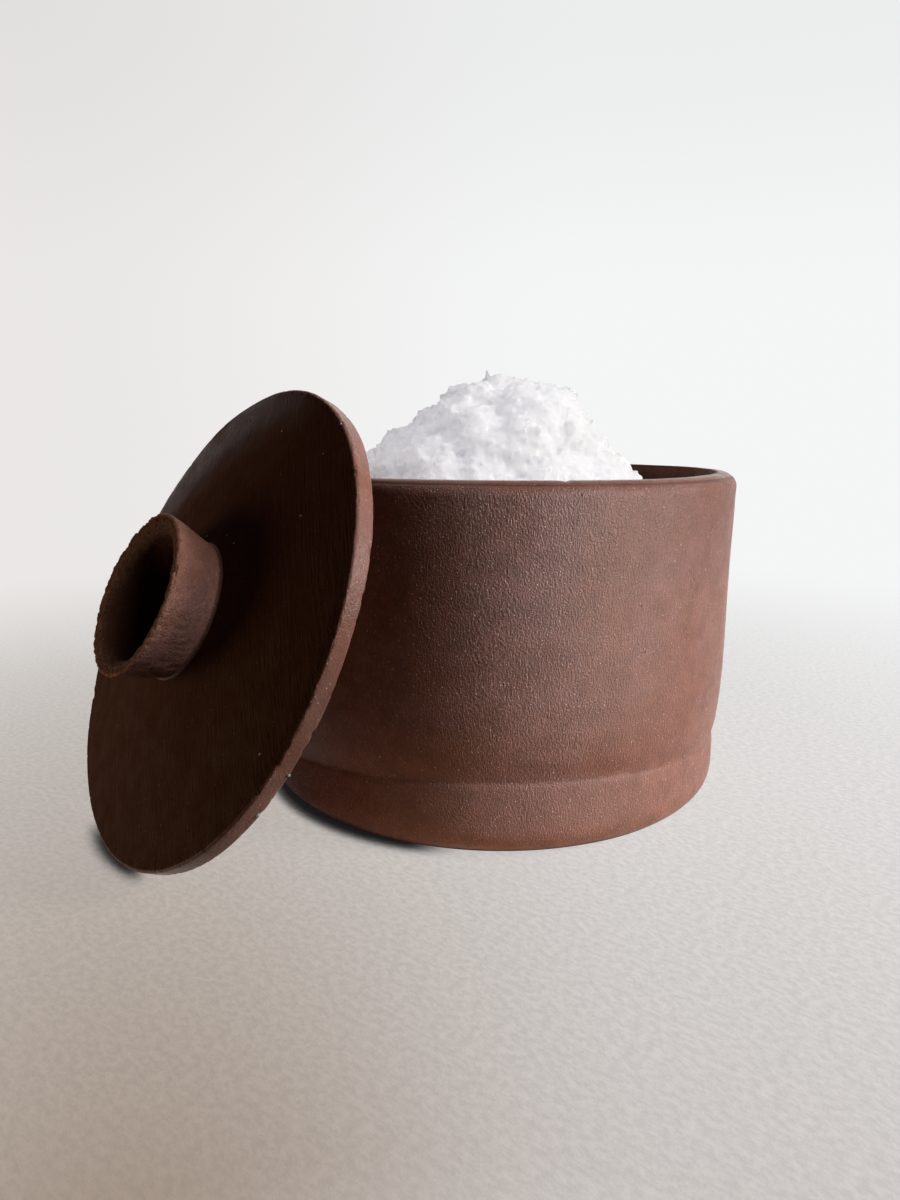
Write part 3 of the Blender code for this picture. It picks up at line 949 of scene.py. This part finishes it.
def heap_surface():
    """The lumpy top of the salt as a square grid of points drawn out to a disc."""
    line = np.linspace(-1.0, 1.0, SALT_GRID)
    first, second = np.meshgrid(line, line, indexing="ij")
    wide = np.abs(first) > np.abs(second)
    share = np.where(wide, first, second)
    safe = np.where(np.abs(share) < 1e-9, 1.0, share)
    turn = np.where(wide, second / safe, 2.0 - first / safe) * math.pi / 4.0
    azimuth = np.where(share < 0.0, turn + math.pi, turn)
    share = np.abs(share)
    neck = LEDGE_RADIUS - SALT_NECK_GAP
    points = np.stack((
        neck * share * np.cos(azimuth) + SALT_PEAK_SHIFT * (1.0 - share),
        neck * share * np.sin(azimuth),
        heap_height(share, azimuth),
    ), axis=-1)
    outward = points - np.array((0.0, 0.0, NECK_Z - HEART_DEPTH))
    outward /= np.linalg.norm(outward, axis=-1)[..., None]
    clumps = uneven(points, SWELL) - SALT_SKIN
    for rise, size, seed in COBBLES:
        clumps = clumps + rise * (cobbles(points, size, seed) - COBBLE_LEVEL)
    for place, rise in CLUMPS:
        clumps = clumps + rise * bell(np.linalg.norm(points - np.array(place), axis=-1), 0.0, CLUMP_SIZE)
    clumps = clumps * ramp(1.0 - share, 0.0, LUMP_FADE)
    points = points + outward * clumps[..., None]
    normals = np.cross(np.gradient(points, axis=0), np.gradient(points, axis=1))
    normals /= np.linalg.norm(normals, axis=-1)[..., None]
    return points, normals


def mound(grid):
    """The heap's top with upright sides and a flat bottom, as corners and faces."""
    count = SALT_GRID
    vertices = [Vector(point) for point in grid.reshape(-1, 3)]
    index = np.arange(count * count).reshape(count, count)
    squares = (index[:-1, :-1], index[1:, :-1], index[1:, 1:], index[:-1, 1:])
    faces = np.stack(squares, axis=-1).reshape(-1, 4).tolist()
    border = np.concatenate((index[:-1, 0], index[-1, :-1], index[:0:-1, -1], index[0, :0:-1])).tolist()
    lower = []
    for corner in border:
        lower.append(len(vertices))
        vertices.append(Vector((vertices[corner].x, vertices[corner].y, NECK_Z - 2.0 * SALT_CUT_DROP)))
    for step, start in enumerate(border):
        after = (step + 1) % len(border)
        faces.append((start, lower[step], lower[after], border[after]))
    faces.append(tuple(reversed(lower)))
    return vertices, faces


def joined(first, second):
    """Two sets of corners and faces as one."""
    start = len(first[0])
    return first[0] + second[0], first[1] + [tuple(index + start for index in face) for face in second[1]]


def flakes(places, normals, sizes, upright):
    """Angular plates at these places. Upright is how far each turns away from the surface."""
    vertices = []
    faces = []
    for place, normal, size, tilt in zip(places, normals, sizes, upright):
        leaning = Vector(normal) * (1.0 - tilt) + Vector(draws.normal(size=3)) * tilt
        turn = leaning.to_track_quat("Z", "Y").to_matrix()
        sides = int(draws.integers(*FLAKE_SIDES))
        thickness = FLAKE_THICKNESS + size * draws.uniform(0.0, FLAKE_THICKER)
        corners = np.arange(sides) + draws.uniform(-FLAKE_CORNERS, FLAKE_CORNERS, sides)
        angles = corners * 2.0 * math.pi / sides
        reach = size * draws.uniform(*FLAKE_REACHES, sides)
        taper = draws.uniform(*FLAKE_TAPERS)
        start = len(vertices)
        for level, spread in ((thickness / 2.0, taper), (-thickness / 2.0, 1.0)):
            for angle, length in zip(angles, reach):
                across = length * spread
                corner = Vector((math.cos(angle) * across, math.sin(angle) * across, level))
                vertices.append(Vector(place) + turn @ corner)
        upper = list(range(start, start + sides))
        lower = list(range(start + sides, start + 2 * sides))
        faces.append(tuple(upper))
        faces.append(tuple(reversed(lower)))
        for side in range(sides):
            after = (side + 1) % sides
            faces.append((upper[side], lower[side], lower[after], upper[after]))
    return vertices, faces


def scattered_flakes(grid, normals):
    """Flakes and larger plates strewn over the heap, and the spike at its peak, as corners and faces."""
    spots = grid.reshape(-1, 3)
    total = SALT_FLAKES + SALT_PLATES
    chosen = draws.integers(0, len(spots), total)
    spread = draws.normal(scale=FLAKE_SCATTER, size=(total, 3))
    outward = normals.reshape(-1, 3)[chosen]
    places = spots[chosen] + spread + outward * FLAKE_LIFT
    sizes = np.clip(draws.lognormal(math.log(FLAKE_SIZE), FLAKE_SIZE_SPREAD, total), *FLAKE_SIZES)
    sizes[SALT_FLAKES:] = draws.uniform(*PLATE_SIZES, SALT_PLATES)
    upright = draws.uniform(*FLAKE_TILTS, total)
    inner = np.hypot(places[:, 0], places[:, 1]) < LEDGE_RADIUS - 2.0 * SALT_NECK_GAP
    strewn = flakes(places[inner], outward[inner], sizes[inner], upright[inner])
    away = np.hypot(spots[:, 0] - SALT_SPIKE[0], spots[:, 1] - SALT_SPIKE[1])
    spike = spots[np.argmin(away)] + np.array((0.0, 0.0, SALT_SPIKE_SIZE / 2.0))
    return joined(strewn, flakes([spike], [SALT_SPIKE_FACING], [SALT_SPIKE_SIZE], [0.0]))


def fused(piece):
    """Makes the heap's overlapping bodies one closed skin."""
    modifier = piece.modifiers.new("fuse", "REMESH")
    modifier.mode = "VOXEL"
    modifier.voxel_size = SALT_VOXEL
    graph = bpy.context.evaluated_depsgraph_get()
    mesh = bpy.data.meshes.new_from_object(piece.evaluated_get(graph))
    piece.modifiers.clear()
    piece.data = mesh


def plugged(piece):
    """Cuts the heap off below the ledge, and closes it with a plain plug that fills the pot."""
    inside = POT_RADIUS - WALL_THICKNESS - CONTACT_GAP
    cove_foot = NECK_Z - (inside + CONTACT_GAP - LEDGE_RADIUS)
    plug = [(inside, cove_foot - SALT_DROP), (inside, SALT_LOW.z + INSIDE_CORNER)]
    plug.append((inside - INSIDE_CORNER, SALT_LOW.z))
    body = bmesh.new()
    body.from_mesh(piece.data)
    everything = body.verts[:] + body.edges[:] + body.faces[:]
    cut = bmesh.ops.bisect_plane(body, geom=everything, plane_co=(0.0, 0.0, NECK_Z - SALT_CUT_DROP),
                                 plane_no=(0.0, 0.0, 1.0), clear_inner=True)
    rim = [item for item in cut["geom_cut"] if isinstance(item, bmesh.types.BMEdge)]
    for radius, height in plug:
        made = bmesh.ops.extrude_edge_only(body, edges=rim)["geom"]
        for corner in made:
            if isinstance(corner, bmesh.types.BMVert):
                flat = Vector((corner.co.x, corner.co.y)).normalized() * radius
                corner.co = (flat.x, flat.y, height)
        rim = [item for item in made if isinstance(item, bmesh.types.BMEdge) and item.is_boundary]
    bmesh.ops.contextual_create(body, geom=rim)
    bmesh.ops.recalc_face_normals(body, faces=body.faces[:])
    body.to_mesh(piece.data)
    body.free()
    piece.data.shade_smooth()


def make_salt(material):
    """The heap: a lumpy mound with flakes all over it, fused, on a plain plug that fills the pot."""
    grid, normals = heap_surface()
    vertices, faces = joined(mound(grid), scattered_flakes(grid, normals))
    piece = add_piece("salt_heap_flakes", vertices, faces, material)
    fused(piece)
    plugged(piece)
    return piece


def dress(piece, body, node=None):
    """Ties a finished piece to its body and the solid that it stands for."""
    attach(piece, body)
    if node:
        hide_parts(node)


def make_crumbs(lid, material, camera_pose):
    """Crumbs and specks of salt that lie on the lid, where the photograph shows them."""
    corners = [vertex.co for vertex in lid.data.vertices]
    surface = BVHTree.FromPolygons(corners, [polygon.vertices[:] for polygon in lid.data.polygons])
    pixels = CRUMB_PIXELS + SPECK_PIXELS
    sizes = [CRUMB_SIZE] * len(CRUMB_PIXELS) + [SPECK_SIZE] * len(SPECK_PIXELS)
    crumbs = []
    for (across, down), size in zip(pixels, sizes):
        ray = Vector((across - PHOTO_WIDTH / 2, PHOTO_HEIGHT / 2 - down, -CAMERA_FOCAL_PX))
        ray = camera_pose.to_3x3() @ ray
        place, normal = surface.ray_cast(camera_pose.translation, ray.normalized())[:2]
        if place:
            crumbs.append((place, normal, size, CRUMB_TILT))
    vertices, faces = flakes(*zip(*crumbs))
    return add_piece("lid_salt_crumbs", vertices, faces, material)


def make_camera():
    """A camera at the photograph's place, angle and focal length."""
    data = bpy.data.cameras.new("photo_camera")
    data.sensor_width = SENSOR_LONG_SIDE
    data.lens = CAMERA_FOCAL_PX / PHOTO_HEIGHT * SENSOR_LONG_SIDE
    data.clip_start, data.clip_end = CAMERA_CLIP
    camera = add_object("photo_camera", data)
    pose = Matrix.Translation(CAMERA_PLACE)
    for turn, axis in ((-CAMERA_YAW, "Z"), (math.pi / 2.0 - CAMERA_PITCH, "X"), (CAMERA_ROLL, "Z")):
        pose = pose @ Matrix.Rotation(turn, 4, axis)
    camera.matrix_world = pose
    bpy.context.scene.camera = camera
    return pose


def paper_tint_and_painted_falloff(nodes, tooth):
    """The paper's colour, with the light's falloff painted in: warmer and darker near the viewer and on the
    left, and mottled by its tooth.
    """
    viewpoint = (CAMERA_PLACE[0], CAMERA_PLACE[1], 0.0)
    offset = nodes.vector("SUBTRACT", nodes.own, viewpoint).outputs["Vector"]
    distance = nodes.vector("LENGTH", offset).outputs["Value"]
    share = nodes.math("POWER", nodes.math("DIVIDE", FLOOR_NEAR_DISTANCE, distance), FLOOR_NEAR_POWER)
    nearness = nodes.math("MINIMUM", share, 1.0)
    bearing = nodes.math("DIVIDE", nodes.axes(offset)["X"], distance)
    far = nodes.mix(nodes.between(bearing, *FLOOR_SIDES), FLOOR_FAR_LEFT, FLOOR_FAR_RIGHT)
    near = nodes.mix(nodes.between(bearing, *FLOOR_NEAR_SIDES), FLOOR_NEAR_LEFT, FLOOR_NEAR_RIGHT)
    return nodes.scaled(nodes.mix(nearness, far, near), nodes.between(tooth, *PAPER_RANGE, *PAPER_TONES))


def make_floor():
    """A sheet of textured paper that fades into the backdrop. It is paler to the eye than to its bounce."""
    material, nodes = new_material("paper_floor")
    path = nodes.add("ShaderNodeLightPath").outputs
    seen = nodes.math("ADD", path["Is Camera Ray"], path["Is Glossy Ray"])
    across = nodes.axes(nodes.own)["X"]
    reach = nodes.vector("LENGTH", nodes.own).outputs["Value"]
    stretched = nodes.stretched(PAPER_STRETCH, PAPER_TURN)
    tooth = nodes.noise(stretched, PAPER_TOOTH, detail=3.0, roughness=0.6)
    tint_and_falloff = paper_tint_and_painted_falloff(nodes, tooth)
    bounce = nodes.mix(nodes.between(across, *BOUNCE_SIDES), BOUNCE_LEFT, BOUNCE_RIGHT)
    bounce = nodes.scaled(bounce, nodes.between(reach, *BOUNCE_REACH))
    sheet = nodes.add("ShaderNodeBsdfDiffuse", {
        "Color": nodes.mix(seen, bounce, nodes.mix(1.0, tint_and_falloff, FLOOR_SHADE, "MULTIPLY")),
        "Normal": nodes.bump(1.0, PAPER_BUMP, tooth),
    })
    lampward = nodes.add("ShaderNodeCombineXYZ", dict(zip("XYZ", CONTACT_SIDE))).outputs["Vector"]
    contact = {"Distance": CONTACT_REACH, "Normal": lampward}
    covered = nodes.between(nodes.add("ShaderNodeAmbientOcclusion", contact).outputs["AO"], *CONTACT_RANGE)
    shadow = nodes.math("MULTIPLY", nodes.between(across, *CONTACT_DARK_SIDE), covered)
    lit = nodes.between(shadow, 0.0, 1.0, FLOOR_GLOW, FLOOR_GLOW * CONTACT_CORE)
    glow = nodes.add("ShaderNodeEmission", {
        "Color": nodes.mix(shadow, tint_and_falloff, nodes.mix(1.0, tint_and_falloff, CONTACT_TINT, "MULTIPLY")),
        "Strength": nodes.math("MULTIPLY", lit, seen),
    })
    paper = nodes.add("ShaderNodeAddShader", {0: sheet.outputs[0], 1: glow.outputs[0]})
    clear = nodes.add("ShaderNodeBsdfTransparent")
    faded = {0: nodes.between(reach, *FLOOR_FADE), 1: paper.outputs[0], 2: clear.outputs[0]}
    surface = nodes.add("ShaderNodeMixShader", faded)
    nodes.add("ShaderNodeOutputMaterial", {"Surface": surface.outputs[0]})
    corners = [(x, y, 0.0) for x, y in arc(0.0, 0.0, FLOOR_REACH, 0, 360, FLOOR_CORNERS)[:-1]]
    floor = add_piece("paper_floor", corners, [tuple(range(len(corners)))], material)


def make_world():
    """A pale backdrop for the eye, a fill mostly from behind, and for gloss a room dark on the left."""
    world = bpy.data.worlds.new("backdrop")
    world.use_nodes = True
    bpy.context.scene.world = world
    nodes = Nodes(world.node_tree)
    axes = nodes.axes(nodes.add("ShaderNodeTexCoord").outputs["Generated"])
    path = nodes.add("ShaderNodeLightPath").outputs
    pale = nodes.mix(nodes.between(axes["X"], *BACKDROP_SIDES), BACKDROP_LEFT, BACKDROP_RIGHT)
    pale = nodes.scaled(pale, nodes.between(axes["Z"], *BACKDROP_HEIGHTS))
    fill = nodes.mix(nodes.between(axes["X"], *FILL_SIDES), FILL_LEFT, FILL_RIGHT)
    fill = nodes.mix(nodes.between(axes["Z"], *FILL_HEIGHTS), fill, FILL_ABOVE)
    fill = nodes.mix(nodes.between(axes["Y"], *FILL_BEHIND), fill, FILL_BACK)
    gloss = nodes.mix(nodes.between(axes["X"], *GLOSS_SIDES), FILL_LEFT, GLOSS_RIGHT)
    gloss = nodes.mix(nodes.between(axes["Y"], *GLOSS_BEHIND), gloss, pale)
    seen = nodes.math("ADD", path["Is Camera Ray"], path["Is Transmission Ray"])
    colour = nodes.mix(seen, nodes.mix(path["Is Glossy Ray"], fill, gloss), pale)
    background = nodes.add("ShaderNodeBackground", {"Color": colour, "Strength": 1.0})
    nodes.add("ShaderNodeOutputWorld", {"Surface": background.outputs[0]})


def make_lamp(name, azimuth, elevation, size, power, colour=KEY_COLOUR, distance=KEY_DISTANCE, only=()):
    """A square soft lamp, for some pieces only if any are given. Azimuth grows to the right of the camera."""
    data = bpy.data.lights.new(name, "AREA")
    data.size = size
    data.energy = power
    data.color = colour
    lamp = add_object(name, data)
    turn = math.radians(azimuth)
    rise = math.radians(elevation)
    level = math.cos(rise)
    towards = Vector((math.sin(turn) * level, -math.cos(turn) * level, math.sin(rise)))
    lamp.location = Vector(AIM) + towards * distance
    lamp.rotation_mode = "QUATERNION"
    lamp.rotation_quaternion = towards.to_track_quat("Z", "Y")
    if only:
        receivers = bpy.data.collections.new(name + "_receivers")
        for piece in only:
            receivers.objects.link(piece)
        lamp.light_linking.receiver_collection = receivers
    return lamp


pose, lid_radius = lid_pose()
camera_pose = make_camera()
pot_clay = clay("pot_clay", streak=(1.0, 1.0, 0.30), gloss=0.08)
lid_clay = clay("lid_clay", streak=(1.0, 1.0, 1.0), gloss=0.14, pose=pose, brush=2.6)
knob_clay = clay("knob_clay", streak=(1.0, 1.0, 0.45), gloss=0.15, pose=pose)
salt = salt_material()

lid = make_lid(lid_clay, pose, lid_radius)
knob = make_knob(knob_clay, pose)
heap = make_salt(salt)
pot = make_pot(pot_clay)
dress(pot, "pot", "pot")
dress(lid, "lid", "lid_disc")
dress(knob, "lid", "lid_knob")
dress(heap, "pot", "salt_heap")
crumbs = make_crumbs(lid, salt, camera_pose)
dress(crumbs, "lid")

make_floor()
make_world()
make_lamp("key_lamp", *KEY_LAMP)
sheen_lamp = make_lamp("sheen_lamp", *SHEEN_LAMP, only=(pot,))
sheen_lamp.data.shape = "RECTANGLE"
sheen_lamp.data.size_y = SHEEN_HEIGHT
sheen_lamp.visible_diffuse = False
sheen_lamp.visible_transmission = False
make_lamp("low_lamp", *LOW_LAMP, LOW_COLOUR, LOW_DISTANCE, only=(lid, knob, crumbs))
make_lamp("salt_lamp", *SALT_LAMP, SALT_LAMP_COLOUR, only=(heap,))
make_lamp("knob_lamp", *KNOB_LAMP, only=(knob, crumbs))
bpy.context.scene.view_settings.view_transform = "Standard"
